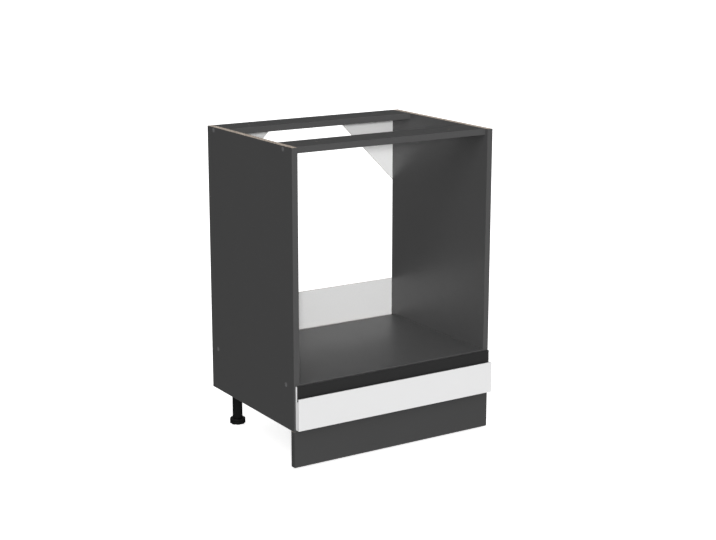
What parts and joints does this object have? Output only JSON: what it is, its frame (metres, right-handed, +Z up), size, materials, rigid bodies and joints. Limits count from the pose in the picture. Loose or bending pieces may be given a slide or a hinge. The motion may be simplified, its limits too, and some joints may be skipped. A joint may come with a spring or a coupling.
{
  "type": "oven housing unit",
  "caption": "Floor-standing kitchen base cabinet with an open niche for a built-in oven, a low grip-front drawer under it, a clip-on plinth board and adjustable legs.",
  "frame": {"origin": "on the floor, under the middle of the overall box", "axes": "+X to the right seen from the front, +Y from the front to the back, +Z up; the drawer front faces -Y"},
  "size_m": [0.6, 0.466, 0.816],
  "materials": {
    "anthracite_board": "satin melamine",
    "anthracite_edging": "satin",
    "white_front": "high gloss",
    "grip_black": "satin",
    "light_hardboard": "smooth lacquered",
    "light_board": "matt melamine",
    "leg_black": "moulded",
    "cap_grey": "moulded",
    "zinc_steel": "zinc plated",
    "runner_steel": "powder coated",
    "roller_nylon": "moulded",
    "beech": "raw",
    "cam_zinc": "die cast",
    "bumper_rubber": "soft"
  },
  "bodies": {
    "carcass": {"left_side_panel": "anthracite_board", "right_side_panel": "anthracite_board", "bottom_panel": "anthracite_board", "oven_shelf": "anthracite_board", "front_top_rail": "anthracite_board", "rear_top_rail": "anthracite_board", "back_strip": "light_hardboard", "left_corner_plate": "light_hardboard", "right_corner_plate": "light_hardboard", "side_edging_strips": "anthracite_edging", "rail_edging_strips": "anthracite_edging", "shelf_edging_strip": "anthracite_edging", "bottom_edging_strip": "anthracite_edging", "carcass_screws": "zinc_steel", "screw_caps": "cap_grey", "wooden_dowels": "beech", "cam_locks": "cam_zinc", "cam_bolts": "zinc_steel", "back_nails": "zinc_steel", "left_cabinet_runner": "runner_steel", "right_cabinet_runner": "runner_steel", "runner_screws": "zinc_steel", "cabinet_roller_pins": "zinc_steel", "leg_sockets": "leg_black", "leg_socket_screws": "zinc_steel", "front_left_leg_tube": "leg_black", "front_right_leg_tube": "leg_black", "rear_left_leg_tube": "leg_black", "rear_right_leg_tube": "leg_black"},
    "drawer": {"drawer_front": "white_front", "grip_lining": "grip_black", "left_drawer_side": "light_board", "right_drawer_side": "light_board", "drawer_back": "light_board", "drawer_bottom": "light_hardboard", "left_drawer_runner": "runner_steel", "right_drawer_runner": "runner_steel", "drawer_roller_pins": "zinc_steel", "drawer_back_screws": "zinc_steel", "drawer_cam_locks": "cam_zinc", "drawer_cam_bolts": "zinc_steel", "drawer_runner_screws": "zinc_steel", "front_bumpers": "bumper_rubber"},
    "plinth": {"plinth_board": "anthracite_board", "left_plinth_clip": "leg_black", "right_plinth_clip": "leg_black", "plinth_clip_screws": "zinc_steel"},
    "left_cabinet_roller": {"left_cabinet_roller": "roller_nylon"},
    "right_cabinet_roller": {"right_cabinet_roller": "roller_nylon"},
    "left_drawer_roller": {"left_drawer_roller": "roller_nylon"},
    "right_drawer_roller": {"right_drawer_roller": "roller_nylon"},
    "front_left_stem": {"front_left_leg_stem": "leg_black"},
    "front_left_foot": {"front_left_leg_foot": "leg_black"},
    "front_right_stem": {"front_right_leg_stem": "leg_black"},
    "front_right_foot": {"front_right_leg_foot": "leg_black"},
    "rear_left_stem": {"rear_left_leg_stem": "leg_black"},
    "rear_left_foot": {"rear_left_leg_foot": "leg_black"},
    "rear_right_stem": {"rear_right_leg_stem": "leg_black"},
    "rear_right_foot": {"rear_right_leg_foot": "leg_black"}
  },
  "joints": [
    {"name": "drawer_slide", "type": "slide", "parent": "carcass", "child": "drawer", "axis": [0, -1, 0], "range_m": [0, 0.3]},
    {"name": "left_cabinet_roller_turn", "type": "hinge", "parent": "carcass", "child": "left_cabinet_roller", "pos_m": [-0.2779, -0.196, 0.1406], "axis": [1, 0, 0], "range_deg": [0, 1720]},
    {"name": "right_cabinet_roller_turn", "type": "hinge", "parent": "carcass", "child": "right_cabinet_roller", "pos_m": [0.2779, -0.196, 0.1406], "axis": [1, 0, 0], "range_deg": [0, 1720]},
    {"name": "left_drawer_roller_turn", "type": "hinge", "parent": "drawer", "child": "left_drawer_roller", "pos_m": [-0.2779, 0.169, 0.1412], "axis": [1, 0, 0], "range_deg": [0, 1578]},
    {"name": "right_drawer_roller_turn", "type": "hinge", "parent": "drawer", "child": "right_drawer_roller", "pos_m": [0.2779, 0.169, 0.1412], "axis": [1, 0, 0], "range_deg": [0, 1578]},
    {"name": "plinth_pull", "type": "slide", "parent": "carcass", "child": "plinth", "axis": [0, -1, 0], "range_m": [0, 0.1]},
    {"name": "front_left_foot_height", "type": "slide", "parent": "carcass", "child": "front_left_stem", "axis": [0, 0, -1], "range_m": [0, 0.015]},
    {"name": "front_left_foot_turn", "type": "hinge", "parent": "front_left_stem", "child": "front_left_foot", "pos_m": [-0.252, -0.164, 0], "axis": [0, 0, -1], "range_deg": [0, 1790]},
    {"name": "front_right_foot_height", "type": "slide", "parent": "carcass", "child": "front_right_stem", "axis": [0, 0, -1], "range_m": [0, 0.015]},
    {"name": "front_right_foot_turn", "type": "hinge", "parent": "front_right_stem", "child": "front_right_foot", "pos_m": [0.252, -0.164, 0], "axis": [0, 0, -1], "range_deg": [0, 1790]},
    {"name": "rear_left_foot_height", "type": "slide", "parent": "carcass", "child": "rear_left_stem", "axis": [0, 0, -1], "range_m": [0, 0.015]},
    {"name": "rear_left_foot_turn", "type": "hinge", "parent": "rear_left_stem", "child": "rear_left_foot", "pos_m": [-0.252, 0.182, 0], "axis": [0, 0, -1], "range_deg": [0, 1790]},
    {"name": "rear_right_foot_height", "type": "slide", "parent": "carcass", "child": "rear_right_stem", "axis": [0, 0, -1], "range_m": [0, 0.015]},
    {"name": "rear_right_foot_turn", "type": "hinge", "parent": "rear_right_stem", "child": "rear_right_foot", "pos_m": [0.252, 0.182, 0], "axis": [0, 0, -1], "range_deg": [0, 1790]}
  ],
  "couplings": [
    {"joint": "left_cabinet_roller_turn", "follows": "drawer_slide", "rad_per_m": 100},
    {"joint": "right_cabinet_roller_turn", "follows": "drawer_slide", "rad_per_m": 100},
    {"joint": "left_drawer_roller_turn", "follows": "drawer_slide", "rad_per_m": 91.743},
    {"joint": "right_drawer_roller_turn", "follows": "drawer_slide", "rad_per_m": 91.743},
    {"joint": "front_left_foot_height", "follows": "front_left_foot_turn", "m_per_rad": 0.00047746},
    {"joint": "front_right_foot_height", "follows": "front_right_foot_turn", "m_per_rad": 0.00047746},
    {"joint": "rear_left_foot_height", "follows": "rear_left_foot_turn", "m_per_rad": 0.00047746},
    {"joint": "rear_right_foot_height", "follows": "rear_right_foot_turn", "m_per_rad": 0.00047746}
  ]
}
